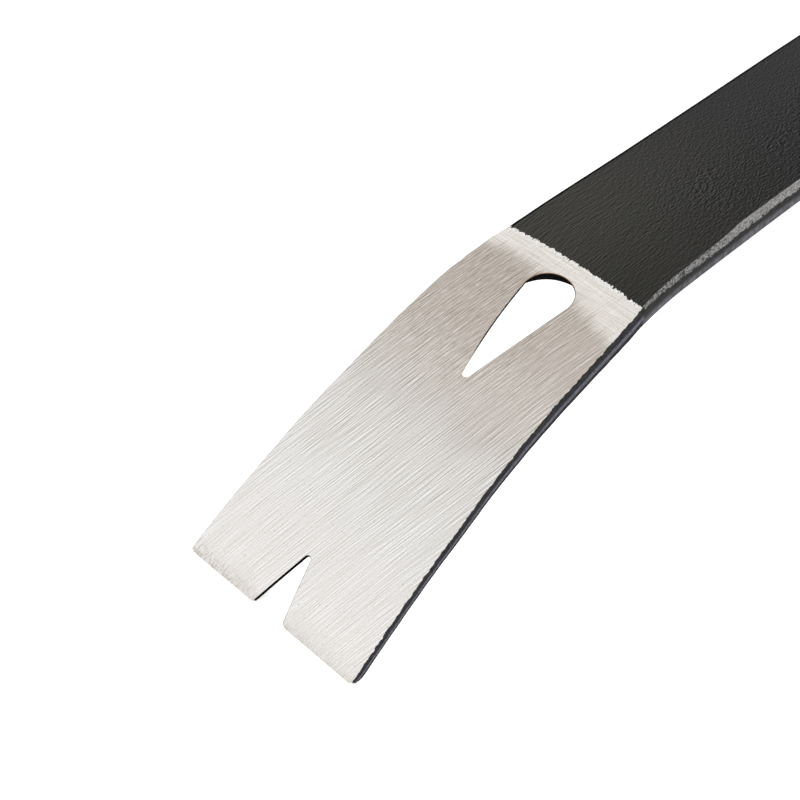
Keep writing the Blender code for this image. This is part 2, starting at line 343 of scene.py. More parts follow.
def cut_profile(thickness, land, from_below, rows):
    """Rows down the wall of a slot or notch: straight for the land, then widening towards the far face."""
    chamfer_rows, side_rows, round_rows = rows
    burr = np.minimum(BURR, 0.2 * thickness)
    land = np.minimum(land, thickness - burr)
    level = np.where(from_below, thickness - land, land)
    drop = [burr * t for t in np.linspace(0, 1, chamfer_rows + 1)[:-1]]
    drop += [burr + (level - burr) * t for t in np.linspace(0, 1, side_rows // 2 + 1)[:-1]]
    rest = side_rows - side_rows // 2 + round_rows
    drop += [level + (thickness - level) * t for t in np.linspace(0, 1, rest + 1)]
    drop = np.array(drop)
    past_land = np.where(from_below, level - drop, drop - level)
    rounding = np.clip(burr - drop, 0, None) + 0.5 * np.clip(drop - thickness + burr, 0, None)
    return COUNTERSINK * np.clip(past_land, 0, None) + rounding, drop


def lengths_down(inset, drop):
    """Distance from the top face's border down each row of a side profile."""
    runs = np.hypot(np.diff(inset, axis=0), np.diff(drop, axis=0))
    return np.concatenate([np.zeros_like(inset[:1]), np.cumsum(runs, 0)])


def cover(x):
    """How far the steel lies under the finished surface: the coat's thickness, eased out onto the steel."""
    past_start = np.minimum(x + COAT_ON_BLADE, COAT_END - x) + COVER_START
    return COAT * ease(past_start / COVER_RUN)


# ---- Outlines on the blank ----------------------------------------------------------------------------


def arc(centre, radius, start, end, count):
    """Points on an arc, both ends included."""
    turns = np.linspace(start, end, count + 1)[:, None]
    return np.array(centre) + radius * np.hstack([np.cos(turns), np.sin(turns)])


def blunt(corner, before, after, size):
    """Points that round off a corner between its two neighbours, starting size away from it."""
    corner, before, after = np.array(corner), np.array(before), np.array(after)
    start = corner + (before - corner) / np.linalg.norm(before - corner) * size
    end = corner + (after - corner) / np.linalg.norm(after - corner) * size
    t = np.linspace(0, 1, BLUNT_POINTS)[:, None]
    return (1 - t) ** 2 * start + 2 * t * (1 - t) * corner + t * t * end


def refined(points, longest):
    """The same open line with no stretch longer than longest."""
    made = []
    for a, b in zip(points, points[1:]):
        t = steps(0, 1, longest / max(np.linalg.norm(b - a), longest))[:-1, None]
        made.append(a + (b - a) * t)
    return np.concatenate(made + [points[-1:]])


def slot_outline():
    """Teardrop: a round end, slightly bulging sides, and a small round point towards the blade tip."""
    run = SLOT_CENTRE[0] - SLOT_POINT[0]
    turn = math.pi / 2 + math.asin((SLOT_RADIUS - SLOT_POINT_RADIUS) / run)
    wide = arc(SLOT_CENTRE, SLOT_RADIUS, -turn, turn, 64)
    point = arc(SLOT_POINT, SLOT_POINT_RADIUS, turn, 2 * math.pi - turn, 14)
    t = np.linspace(0, 1, 62)[1:-1, None]
    bulge = SLOT_SIDE_BULGE * np.sin(math.pi * t) * [0, 1]
    upper = wide[-1] + (point[0] - wide[-1]) * t + bulge
    lower = point[-1] + (wide[0] - point[-1]) * t - bulge
    return np.concatenate([wide, upper, point, lower])


def tip_outline(notch, corner_sizes):
    """A tip line with its V notch, from the lower corner to the upper. The bar lies in +x from it."""
    depth, apex_y, apex_radius = notch["depth"], notch["apex_y"], notch["apex_radius"]
    low, high = notch["mouth"]
    centre = (depth - apex_radius, apex_y)
    below, above = math.atan((apex_y - low) / depth), math.atan((high - apex_y) / depth)
    apex = arc(centre, apex_radius, below - math.pi / 2, math.pi / 2 - above, 14)
    inward = 5 * MM
    lower_corner, upper_corner = (0, -HALF_TIP), (0, HALF_TIP)
    line = np.concatenate(
        [
            blunt(lower_corner, (inward, -HALF_TIP), (0, 0), corner_sizes[0]),
            blunt((0, low), lower_corner, apex[0], corner_sizes[1]),
            apex,
            blunt((0, high), apex[-1], upper_corner, corner_sizes[2]),
            blunt(upper_corner, (0, 0), (inward, HALF_TIP), corner_sizes[3]),
        ]
    )
    return refined(line, 0.45 * MM)


def bar_outline():
    """Outer outline of the blank, anticlockwise from the right side."""
    body_start, body_end = 0.022, BODY_LENGTH - 0.012
    side_x = np.concatenate(
        [
            steps(-BLADE_LENGTH + TIP_RUN, body_start, 0.5 * MM),
            steps(body_start, body_end, 6 * MM)[1:-1],
            steps(body_end, HOOK_TIP - TIP_RUN, 0.5 * MM),
        ]
    )
    half = form(side_x)[0] - cover(side_x)
    waves = [
        0.05 * wander(side_x, 7 * MM, seed) + 0.03 * wander(side_x, 2.3 * MM, seed + 1) for seed in (11, 13)
    ]
    grown = ease((to_tip(side_x) - TIP_RUN) / EDGE_WAVES_GROWTH)
    settled = MM * grown * (1 - cover(side_x) / COAT)
    right = np.stack([side_x, drift(side_x) - half - waves[0] * settled], 1)
    left = np.stack([side_x, drift(side_x) + half + waves[1] * settled], 1)[::-1]
    blade_tip = tip_outline(BLADE_NOTCH, (0.5 * MM, 1.0 * MM, 0.35 * MM, 0.5 * MM)) - [BLADE_LENGTH, 0]
    hook_tip = tip_outline(HOOK_NOTCH, (0.6 * MM,) * 4) * [-1, 1] + [HOOK_TIP, 0]
    return np.concatenate([right, hook_tip, left, blade_tip[::-1]])


def inward_normals(loop):
    """Unit normals on the left of the way round, longer at corners so that an offset keeps its width."""
    edge = np.roll(loop, -1, 0) - loop
    edge /= np.linalg.norm(edge, axis=1)[:, None]
    left = np.stack([-edge[:, 1], edge[:, 0]], 1)
    total = left + np.roll(left, 1, 0)
    total /= np.linalg.norm(total, axis=1)[:, None]
    return total / np.clip((total * left).sum(1), 0.6, 1)[:, None]


def inside(points, loop):
    """Whether each point is inside a closed loop."""
    x, y = points[:, :1], points[:, 1:]
    x0, y0 = loop.T
    x1, y1 = np.roll(loop, -1, 0).T
    spans = (y0 > y) != (y1 > y)
    rise = np.where(y1 == y0, 1.0, y1 - y0)
    return (spans & (x < (x1 - x0) * (y - y0) / rise + x0)).sum(1) % 2 == 1


def in_steel(points, loops):
    """Whether each point is inside the first loop and outside the others."""
    found = inside(points, loops[0])
    for hole in loops[1:]:
        found &= ~inside(points, hole)
    return found


def face_fill(loops, grid):
    """Points and triangles that fill a face between its loops, and the added points' distance from them."""
    border = np.concatenate(loops)
    grid = grid[in_steel(grid, loops)]
    gaps = [((part[:, None] - border) ** 2).sum(2).min(1) for part in np.array_split(grid, 20)]
    gaps = np.sqrt(np.concatenate(gaps))
    grid = grid[gaps > FACE_CLEARANCE]
    edges, start = [], 0
    for loop in loops:
        edges += [(start + i, start + (i + 1) % len(loop)) for i in range(len(loop))]
        start += len(loop)
    points = np.concatenate([border, grid])
    made = delaunay_2d_cdt([Vector(p / MM) for p in points], edges, [], 0, 1e-6)
    triangles = np.array([made[3][i][0] if made[3][i] else -1 for face in made[2] for i in face])
    if len(made[0]) != len(points) or triangles.min() < 0:
        raise RuntimeError(f"an outline crosses itself: {len(made[0])} points from {len(points)}")
    triangles = triangles.reshape(-1, 3)
    return points, triangles[in_steel(points[triangles].mean(1), loops)], gaps[gaps > FACE_CLEARANCE]


# ---- Meshes ----------------------------------------------------------------------------------------


def new_piece(name, points, faces, values):
    """Mesh object bent and laid down from the blank, with float or vector point attributes."""
    mesh = bpy.data.meshes.new(name)
    mesh.from_pydata(laid_down(bend(points)).tolist(), [], faces)
    for key, data in values.items():
        data = np.asarray(data, np.float32)
        if data.ndim == 1:
            mesh.attributes.new(key, "FLOAT", "POINT").data.foreach_set("value", data)
        else:
            mesh.attributes.new(key, "FLOAT_VECTOR", "POINT").data.foreach_set("vector", data.ravel())
    mesh.shade_smooth()
    mesh.set_sharp_from_angle(angle=SHARP_ANGLE)
    piece = bpy.data.objects.new(name, mesh)
    bpy.context.scene.collection.objects.link(piece)
    return piece


def rings(rows, count, start):
    """Quads between successive closed rows of count points each."""
    along = np.arange(count)
    quads = []
    for row in range(rows - 1):
        low = start + row * count + along
        low_next = start + row * count + (along + 1) % count
        quads.append(np.stack([low, low + count, low_next + count, low_next], 1))
    return np.concatenate(quads)


def reach_of(x):
    """Millimetres past the body towards the nearer tip. The claw is stretched to match the blade."""
    claw = (x - COAT_END) / (HOOK_LENGTH - COAT_ON_HOOK)
    hook = (COAT_ON_BLADE + claw * (BLADE_LENGTH - COAT_ON_BLADE)) / MM
    return np.where(x > BODY_LENGTH / 2, hook, -x / MM)


def brushed(reach, y):
    """Distance along the grinding lines and across them. They slant more and more towards the tip."""
    slant_at = (0, 35, 60, 84, 112)
    slant = np.radians((7, 9.4, 12.3, 16.5, 15.5))
    gap = 0.5
    places = np.arange(-300, 130 + gap, gap)
    aside = np.cumsum(np.tan(np.interp(places, slant_at, slant))) * gap
    aside -= np.interp(0, places, aside)
    return np.column_stack([reach, y / MM - np.interp(reach, places, aside), np.zeros_like(reach)])


def rim(loop, land, rows):
    """Rows of points down an edge of the steel bar, with their distance from the nearer face and depth."""
    x, y = loop.T
    _, top, bottom = form(x)
    thickness = top - bottom - 2 * cover(x)
    across, down = chamfers(x, np.sign(y))
    bulge = SIDE_BULGE * ease((to_tip(x) - TIP_RUN) / BULGE_GROWTH)
    sides = side_profile(thickness, across, down, bulge, rows)
    cuts = cut_profile(thickness, land, x > 0, rows)
    inset, drop = np.where(np.abs(y) < CUTS_WITHIN, cuts, sides)
    along = lengths_down(inset, drop)
    normal = inward_normals(loop)
    points = []
    for row_inset, row_drop in zip(inset, drop):
        place = loop + normal * row_inset[:, None]
        _, top_here, bottom_here = form(place[:, 0])
        share = row_drop / thickness
        sunk = (cover(place[:, 0]) + dip(place[:, 0], place[:, 1])) * (1 - 2 * share)
        points.append(np.column_stack([place, top_here * (1 - share) + bottom_here * share - sunk]))
    return np.array(points), np.stack([np.minimum(along, along[-1] - along) / MM, drop / thickness], 2)


def make_steel():
    """The forged bar: edges swept round the outline and the slot, and faces filled between them."""
    fine, coarse = 0.9 * MM, 9 * MM
    grid_x = np.concatenate(
        [
            steps(-BLADE_LENGTH, 0.002, fine),
            steps(0.008, BODY_LENGTH - 0.006, coarse),
            steps(BODY_LENGTH, HOOK_TIP, fine),
        ]
    )
    grid_y = steps(-TIP_WIDTH / 2, TIP_WIDTH / 2, 1.0 * MM)
    grid = np.stack(np.meshgrid(grid_x, grid_y, indexing="ij"), -1).reshape(-1, 2)
    outlines = ((bar_outline(), NOTCH_LAND), (slot_outline()[::-1], SLOT_LAND))
    points, walls, faces = [], [], []
    top_border, low_border = [], []
    start = 0
    for loop, land in outlines:
        rim_points, wall = rim(loop, land, STEEL_EDGE_ROWS)
        count = len(loop)
        faces += rings(len(rim_points), count, start).tolist()
        top_border.append((rim_points[0], start + np.arange(count)))
        low_border.append((rim_points[-1], start + (len(rim_points) - 1) * count + np.arange(count)))
        points.append(rim_points.reshape(-1, 3))
        walls.append(wall.reshape(-1, 2))
        start += rim_points.shape[0] * count
    for border, is_top in ((top_border, True), (low_border, False)):
        flat, triangles, gaps = face_fill([line[:, :2] for line, _ in border], grid)
        numbers = np.concatenate([number for _, number in border])
        extra = flat[len(numbers) :]
        numbers = np.concatenate([numbers, start + np.arange(len(extra))])
        _, top, bottom = form(extra[:, 0])
        sunk = cover(extra[:, 0]) + dip(extra[:, 0], extra[:, 1])
        points.append(np.column_stack([extra, top - sunk if is_top else bottom + sunk]))
        walls.append(np.column_stack([-gaps / MM, np.full(len(extra), 0.0 if is_top else 1.0)]))
        start += len(extra)
        a, b, c = np.moveaxis(flat[triangles], 1, 0)
        turns_left = (b[:, 0] - a[:, 0]) * (c[:, 1] - a[:, 1]) > (b[:, 1] - a[:, 1]) * (c[:, 0] - a[:, 0])
        triangles = np.where((turns_left == is_top)[:, None], triangles, triangles[:, ::-1])
        faces += numbers[triangles].tolist()
    points = np.concatenate(points)
    reach = reach_of(points[:, 0])
    walls = np.concatenate(walls)
    values = {
        "wall": walls[:, 0],
        "depth": walls[:, 1],
        "brush": brushed(reach, points[:, 1]),
        "blank": np.column_stack([reach, points[:, 1] / MM, points[:, 2] / MM]),
    }
    return new_piece("bare_steel_bar", points, faces, values)


def paint_line(around, seed):
    """How far the paint runs past its end at distances around the bar: fine teeth and a few long ones."""
    teeth = 0.22 * wander(around, 0.26 * MM, seed) + 0.12 * wander(around, 1.1 * MM, seed + 1)
    slow = 0.10 * wander(around, 4.5 * MM, seed + 2)
    long_teeth = 1.4 * np.clip(wander(around, 0.24 * MM, seed + 3) - 0.55, 0, 1)
    return (teeth + slow + long_teeth) * MM


def coat_rows():
    """Places of the coat's rows, close together at its ends and in the bends."""
    near_end = np.array([0.0, 0.12, 0.26, 0.42, 0.62, 0.9, 1.3, 1.8, THINNING / MM]) * MM
    past_end = 3.2 * MM
    body_start, body_end = 0.022, BODY_LENGTH - 0.01
    return np.concatenate(
        [
            near_end - COAT_ON_BLADE,
            steps(past_end - COAT_ON_BLADE, body_start, 0.9 * MM),
            steps(body_start, body_end, 1.8 * MM)[1:-1],
            steps(body_end, COAT_END - past_end, 0.9 * MM),
            COAT_END - near_end[::-1],
        ]
    )


def sleeve(x, inner):
    """Rings of points around the body at each x, and their distances around it and past a top edge."""
    half, top, bottom = form(x)
    thickness = top - bottom
    columns = []

    def add(*column):
        columns.append([np.broadcast_to(value, x.shape) for value in column])

    profiles = {
        side: side_profile(thickness, *chamfers(x, side), SIDE_BULGE, COAT_EDGE_ROWS) for side in (1, -1)
    }
    left_top = half - profiles[1][0][0]
    right_top = half - profiles[-1][0][0]
    for u in np.linspace(0, 1, COAT_TOP_COLUMNS + 1)[1:-1]:
        place = u * (left_top + right_top) - right_top
        add(place, top, place, -np.minimum(left_top - place, place + right_top))
    for side, border in ((1, left_top), (-1, right_top)):
        inset, drop = profiles[side]
        down = lengths_down(inset, drop)
        for row in range(len(inset))[::side]:
            add(side * (half - inset[row]), top - drop[row], side * (border + down[row]), down[row])
        if side > 0:
            low = half - inset[-1]
            for u in np.linspace(1, -1, COAT_UNDER_COLUMNS + 1)[1:-1]:
                past = down[-1] + (1 - abs(u)) * low
                add(u * low, bottom, np.sign(u) * (border + past), past)
    y, height, around, edge = np.array(columns).transpose(1, 2, 0)
    place = np.repeat(x[:, None], y.shape[1], 1)
    centre = ((top + bottom) / 2)[:, None]
    sunk = dip(place, y) * (height - centre) / (thickness / 2)[:, None]
    if inner:
        y = y * (1 - INNER_COAT / half[:, None])
        height = centre + (height - centre) * (1 - 2 * INNER_COAT / thickness)[:, None]
    past_blade = np.clip(1 - (x + COAT_ON_BLADE) / THINNING, 0, 1)[:, None] ** 2
    past_hook = np.clip(1 - (COAT_END - x) / THINNING, 0, 1)[:, None] ** 2
    curve = PAINT_LINE_CURVE * y * y
    y = y + drift(place)
    place = place - past_blade * (curve[:1] + paint_line(around[0], 31))
    place = place + past_hook * (curve[-1:] + paint_line(around[-1], 41))
    ends = np.maximum(past_blade, past_hook)
    if not inner:
        y = y * (1 - 0.45 * ends * COAT / half[:, None])
        height = centre + (height - centre) * (1 - 0.9 * ends * COAT / thickness[:, None])
    return np.stack([place, y, height - sunk], 2), around, edge


def make_coat():
    """The paint: a thin closed sleeve around the body, with a ragged edge at both ends."""
    x = coat_rows()
    outer, around, edge = sleeve(x, inner=False)
    inner = sleeve(x, inner=True)[0]
    rows, count = around.shape
    total = rows * count
    faces = rings(rows, count, 0)
    inside_faces = rings(rows, count, total)[:, ::-1]
    first = np.arange(count)
    turn = np.roll(first, -1)
    last = (rows - 1) * count
    blade_end = np.stack([first, turn, total + turn, total + first], 1)
    hook_end = np.stack([last + turn, last + first, total + last + first, total + last + turn], 1)
    points = np.concatenate([outer.reshape(-1, 3), inner.reshape(-1, 3)])
    x_mm, y_mm, height_mm = (points / MM).T
    values = {
        "blank": np.column_stack([x_mm, y_mm, height_mm]),
        "around": np.tile(around.ravel() / MM, 2),
        "edge": np.tile(edge.ravel() / MM, 2),
    }
    faces = np.concatenate([faces, inside_faces, blade_end, hook_end]).tolist()
    return new_piece("black_paint_coat", points, faces, values)


# ---- Materials -------------------------------------------------------------------------------------


def linear(level):
    """Linear light of a screen level from 0 to 255."""
    level = np.asarray(level, float) / 255
    return np.where(level <= 0.04045, level / 12.92, ((level + 0.055) / 1.055) ** 2.4)


def rgba(r, g, b):
    """Linear colour, with its alpha, of screen levels."""
    return (*linear((r, g, b)).tolist(), 1.0)


class Graph:
    """A material's nodes, with a short call for each kind used here."""

    def __init__(self, name):
        self.material = bpy.data.materials.new(name)
        self.material.use_nodes = True
        self.tree = self.material.node_tree
        self.tree.nodes.clear()

    def node(self, kind, inputs=None, **settings):
        """Adds a node. An input is a number, a colour, or another node's output."""
        node = self.tree.nodes.new(kind)
        for key, value in settings.items():
            setattr(node, key, value)
        for key, value in (inputs or {}).items():
            if isinstance(value, bpy.types.NodeSocket):
                self.tree.links.new(value, node.inputs[key])
            else:
                node.inputs[key].default_value = value
        return node

    def attribute(self, name, output="Fac"):
        return self.node("ShaderNodeAttribute", attribute_name=name).outputs[output]

    def axes(self, vector):
        return self.node("ShaderNodeSeparateXYZ", {0: vector}).outputs

    def vector(self, x, y, z):
        return self.node("ShaderNodeCombineXYZ", {0: x, 1: y, 2: z}).outputs[0]

    def math(self, operation, a, b=0.0, c=0.0):
        return self.node("ShaderNodeMath", {0: a, 1: b, 2: c}, operation=operation).outputs[0]

    def vector_math(self, operation, a, b):
        return self.node("ShaderNodeVectorMath", {0: a, 1: b}, operation=operation).outputs[0]

    def product(self, first, *others):
        """Product of several numbers."""
        for value in others:
            first = self.math("MULTIPLY", first, value)
        return first

    def centred(self, noise):
        """Noise moved to lie around zero."""
        return self.math("SUBTRACT", noise, 0.5)

    def noise(self, vector, scale, detail=2.0, roughness=0.5):
        """Noise between about 0.25 and 0.75, stretched by the scale along each axis, per millimetre."""
        place = self.vector_math("MULTIPLY", vector, scale)
        inputs = {"Vector": place, "Scale": 1.0, "Detail": detail, "Roughness": roughness}
        return self.node("ShaderNodeTexNoise", inputs).outputs[0]

    def emboss(self, vector, scale, shift, detail=0.0):
        """Difference of noise over a small shift, like relief lit from one side."""
        moved = self.vector_math("ADD", vector, shift)
        return self.math("SUBTRACT", self.noise(moved, scale, detail), self.noise(vector, scale, detail))

    def varied(self, value, noise, strength):
        """The value made larger or smaller by noise."""
        return self.product(value, self.math("MULTIPLY_ADD", self.centred(noise), strength, 1.0))

    def spread(self, value, low, high, to_low=0.0, to_high=1.0, smooth_ends=True):
        """Maps a value's range from low to high onto another range, clamped."""
        inputs = {0: value, 1: low, 2: high, 3: to_low, 4: to_high}
        kind = "SMOOTHSTEP" if smooth_ends else "LINEAR"
        return self.node("ShaderNodeMapRange", inputs, interpolation_type=kind).outputs[0]

    def fade(self, value, low, high):
        """Falls smoothly from 1 to 0 as the value goes from low to high."""
        return self.spread(value, low, high, 1.0, 0.0)

    def ramp(self, value, stops):
        """Colour from (place, colour) stops."""
        node = self.node("ShaderNodeValToRGB", {0: value})
        elements = node.color_ramp.elements
        while len(elements) < len(stops):
            elements.new(0.5)
        for element, (place, colour) in zip(elements, stops):
            element.position = place
            element.color = colour
        return node.outputs[0]

    def blend(self, factor, a, b):
        """Mix of two numbers."""
        return self.node("ShaderNodeMix", {0: factor, 2: a, 3: b}, data_type="FLOAT").outputs[0]

    def mix(self, factor, a, b):
        """Mix of two colours."""
        return self.node("ShaderNodeMix", {0: factor, 6: a, 7: b}, data_type="RGBA").outputs[2]

    def bump(self, height, distance, strength):
        inputs = {"Strength": strength, "Distance": distance, "Height": height}
        return self.node("ShaderNodeBump", inputs).outputs[0]

    def surface(self, shader):
        self.node("ShaderNodeOutputMaterial", {"Surface": shader})
        return self.material


def dark_shader(g, colour, height, gloss):
    """Black paint or forging scale over a rough forging."""
    inputs = {
        "Base Color": colour,
        "Roughness": 0.45,
        "Normal": g.bump(height, 0.0001, 0.6),
        "Specular IOR Level": gloss,
    }
    return g.node("ShaderNodeBsdfPrincipled", inputs).outputs[0]


def paint_relief(g, place, near_line):
    """The paint's relief: hair lines near its end, a slanting grain further on, and patches of dents."""
    x, y, height = g.axes(place)
    grain = g.vector(x, g.math("MULTIPLY_ADD", x, -0.12, y), height)
    hairs = g.emboss(place, (0.25, 3.4, 3.4), (0.0, 0.22, 0.0))
    pebbles = g.emboss(grain, (1.0, 2.9, 2.9), (0.0, 0.26, 0.0))
    dents = g.emboss(place, (0.7, 1.1, 1.1), (-0.2, 0.25, 0.0), 2.0)
    patches = g.spread(g.noise(place, (0.06, 0.11, 0.11)), 0.5, 0.66, 0.3, 1.5)
    dented = g.product(patches, g.spread(x, 0, 20), g.spread(y, -2, 12, 1.0, 0.3))
    grained = g.product(g.blend(near_line, 1.0, 0.35), g.spread(y, -6, 15, 1.0, 0.5))
    relief = g.math("MULTIPLY_ADD", dents, dented, g.product(pebbles, grained))
    return g.math("MULTIPLY_ADD", hairs, g.blend(near_line, 0.15, 0.5), relief)


def worn_and_lit_edge(g, place, edge):
    """The light-grey strip along the right top edge, a painted highlight on the chamfer together with worn
    paint: how far it reaches, and its colour.
    """
    x, y, _ = g.axes(place)
    ragged = g.math("MULTIPLY_ADD", g.noise(place, (1.1, 1.6, 2.4)), 2.4, -1.2)
    strip_reaches = g.spread(x, -16, 4, 1.0, 1.85, smooth_ends=False)
    past_strip = g.math("SUBTRACT", g.math("ADD", edge, ragged), strip_reaches)
    wear_and_highlight = g.product(g.spread(edge, -0.05, 0.05), g.fade(past_strip, -0.1, 0.1), g.fade(y, -12, -10))
    speckle = g.spread(g.noise(place, (2.2, 2.8, 2.8), 2.0, 0.6), 0.4, 0.6)
    on_body = g.spread(x, 0, 24)
    dark = g.mix(on_body, rgba(44, 44, 44), rgba(98, 97, 96))
    light = g.mix(on_body, rgba(128, 127, 126), rgba(140, 139, 138))
    return wear_and_highlight, g.mix(speckle, dark, light)


def paint_material():
    """Black paint on the forging, with painted light and shade: its grain lit from one side, a painted
    sheen that darkens to the right, painted shade just under the top edges, and a painted reflection of the
    floor low on the sides.
    """
    g = Graph("black_paint")
    place = g.attribute("blank", "Vector")
    edge = g.attribute("edge")
    x, y, _ = g.axes(place)
    near_line = g.fade(x, -10, 30)
    relief = paint_relief(g, place, near_line)
    # The relief also sets the colour: painted light and shade, each grain, hair line and dent lighter on
    # one side and darker on the other.
    level = g.math("POWER", g.spread(relief, -0.5, 0.5, smooth_ends=False), 1.5)
    dark = g.mix(near_line, rgba(2, 2, 2), rgba(8, 8, 6))
    light = g.mix(g.spread(x, -15, 60), rgba(95, 94, 89), rgba(79, 78, 78))
    # Painted sheen: the light colour darker towards the right side of the body.
    light = g.mix(g.spread(y, -16, 12, 0.36, 0.0), light, rgba(20, 20, 20))
    colour = g.mix(level, dark, light)
    left_border = g.product(g.spread(y, 12, 13), g.spread(edge, -0.5, -0.38))
    colour = g.mix(left_border, colour, rgba(0, 0, 0))
    # Painted shade: darker just under the top edges.
    shade_under_edge = g.product(g.spread(edge, 0.1, 1.2), g.fade(edge, 3.1, 4.7), 0.85)
    colour = g.mix(shade_under_edge, colour, rgba(3, 3, 3))
    # Painted reflection of the floor: a lighter, streaked colour low on the sides and on the underside.
    side_streaks = g.spread(g.noise(place, (2.6, 0.4, 0.5), 1.0), 0.3, 0.7)
    floor_reflection_colour = g.mix(side_streaks, rgba(38, 37, 42), rgba(96, 93, 102))
    colour = g.mix(g.spread(edge, 3.2, 4.8, 0.0, 0.75), colour, floor_reflection_colour)
    # Light-grey strip on the right top chamfer: a painted highlight and worn paint together.
    wear_and_highlight, wear_and_highlight_colour = worn_and_lit_edge(g, place, edge)
    return g.surface(dark_shader(g, g.mix(wear_and_highlight, colour, wear_and_highlight_colour), relief, 0.04))


def blade_reflection_tones(g, reach, cloud):
    """Painted reflection: the ground steel's tone along the blade, darkest in the bend and brightest near
    the tip, as the bent faces reflect the light around them.
    """
    ramp_length = 112.0
    place = g.math("MULTIPLY_ADD", g.centred(cloud), 14.0, reach)
    reflected_tones = (
        (0.0, (184, 175, 165)),
        (0.25, (184, 175, 165)),
        (0.38, (190, 181, 172)),
        (0.52, (206, 201, 194)),
        (0.58, (217, 214, 210)),
        (0.74, (229, 227, 224)),
        (0.95, (236, 233, 230)),
        (1.0, (230, 226, 222)),
    )
    return g.ramp(g.math("DIVIDE", place, ramp_length), [(at, rgba(*tone)) for at, tone in reflected_tones])


def grinding_lines(g, brush, blank, band):
    """Grinding lines along the blade, across it in the bright band, and mottled at the tip."""
    fine = g.math("MULTIPLY_ADD", g.emboss(brush, (0.13, 3.6, 1.0), (0.0, 0.22, 0.0)), 0.6, 0.5)
    lines = g.blend(g.product(band, 0.8), fine, 0.5)
    band_lines = g.product(g.centred(g.noise(blank, (6.0, 0.09, 1.0), 1.0)), band)
    lines = g.math("MULTIPLY_ADD", band_lines, 0.6, lines)
    at_tip = g.spread(g.axes(blank)[0], 106, 109)
    return g.blend(g.product(at_tip, 0.5), lines, g.noise(blank, (0.5, 2.2, 1.0), 2.0, 0.6))


def ground_shade(g, brush, blank, lines, medium, in_bend):
    """How much lighter or darker the lines, pits, stains and a worn tip leave the steel, with painted light
    in the bend, more on its right side.
    """
    reach, y, _ = g.axes(blank)
    shade = g.varied(1.0, lines, g.spread(reach, 70, 100, 1.5, 0.8))
    shade = g.varied(shade, medium, 0.15)
    shade = g.varied(shade, g.noise(brush, (0.03, 0.35, 1.0)), 0.12)
    shade = g.varied(shade, g.noise(blank, (2.6, 4.0, 1.0), 1.0), 0.4)
    pits = g.spread(g.noise(blank, (1.5, 2.2, 1.0), 1.0), 0.7, 0.76, 1.0, 0.72)
    worn_tip = g.spread(g.math("MULTIPLY_ADD", y, 0.05, reach), 108.0, 111.8)
    mottle = g.spread(g.noise(blank, (1.0, 2.2, 1.0), 2.0, 0.6), 0.35, 0.65, 0.74, 1.02)
    # Painted light in the bend: lighter, more on its right side, with smudges over it.
    smudges = g.centred(g.noise(brush, (0.4, 2.4, 1.0), 2.0, 0.6))
    smudges = g.product(smudges, g.spread(y, -14, -4, 0.45, 1.0))
    bend_shade = g.math("ADD", smudges, g.spread(y, -15, -3, 1.11, 1.035))
    return g.product(shade, pits, g.blend(worn_tip, 1.0, mottle), g.blend(in_bend, 1.0, bend_shade))


def edge_scale(g, blank, past_line, middle, slot_top):
    """Where the steel is dark with paint or forging scale, and the shader there. Its colour has painted
    shade in the slot and notches, and a painted sheen and highlight line on the outer sides.
    """
    wall = g.attribute("wall")
    depth = g.attribute("depth")
    reach, y, _ = g.axes(blank)
    bites = g.centred(g.noise(blank, (0.7, 0.9, 2.0), 3.0, 0.6))
    bites = g.product(bites, g.spread(y, -15, -13, 0.8, 0.1))
    past_rim = g.math("SUBTRACT", wall, g.product(slot_top, 0.14))
    past_rim = g.math("ADD", past_rim, g.spread(depth, 0.5, 0.6, 0.0, 0.4))
    dark = g.spread(g.math("ADD", bites, past_rim), -0.03, 0.03)
    dark = g.product(dark, g.fade(reach, 110.3, 110.7))
    specks = g.spread(g.noise(blank, (3.0, 3.0, 1.0), 1.0), 0.66, 0.7)
    dark = g.math("MAXIMUM", dark, g.product(specks, g.fade(past_line, 0.5, 1.5)))
    pebbles = g.noise(blank, (1.5, 2.5, 2.5))
    level = g.spread(pebbles, 0.3, 0.7, smooth_ends=False)
    on_side = g.spread(g.math("ABSOLUTE", y), 12, 14)
    # Lit and shaded copies of the scale: painted shade on the walls of the slot and notches, and a lighter
    # colour with painted sheen on the outer side walls, whose shader has no gloss.
    shaded_cut_colour = g.mix(level, rgba(2, 2, 2), rgba(26, 26, 26))
    side_colour_with_sheen = g.mix(level, rgba(32, 32, 33), rgba(56, 56, 58))
    colour = g.mix(on_side, shaded_cut_colour, side_colour_with_sheen)
    # Painted highlight: a lighter line low on the outer side walls, above their rounded lower edge.
    low_highlight = g.product(g.spread(depth, 0.3, 0.5), g.fade(depth, 0.58, 0.68), on_side)
    colour = g.mix(low_highlight, colour, g.mix(level, rgba(68, 68, 74), rgba(104, 104, 114)))
    near_point = g.product(g.spread(reach, 42, 49), g.fade(reach, 54, 56), middle)
    colour = g.mix(near_point, colour, rgba(186, 176, 163))
    return dark, dark_shader(g, colour, pebbles, 0.0)


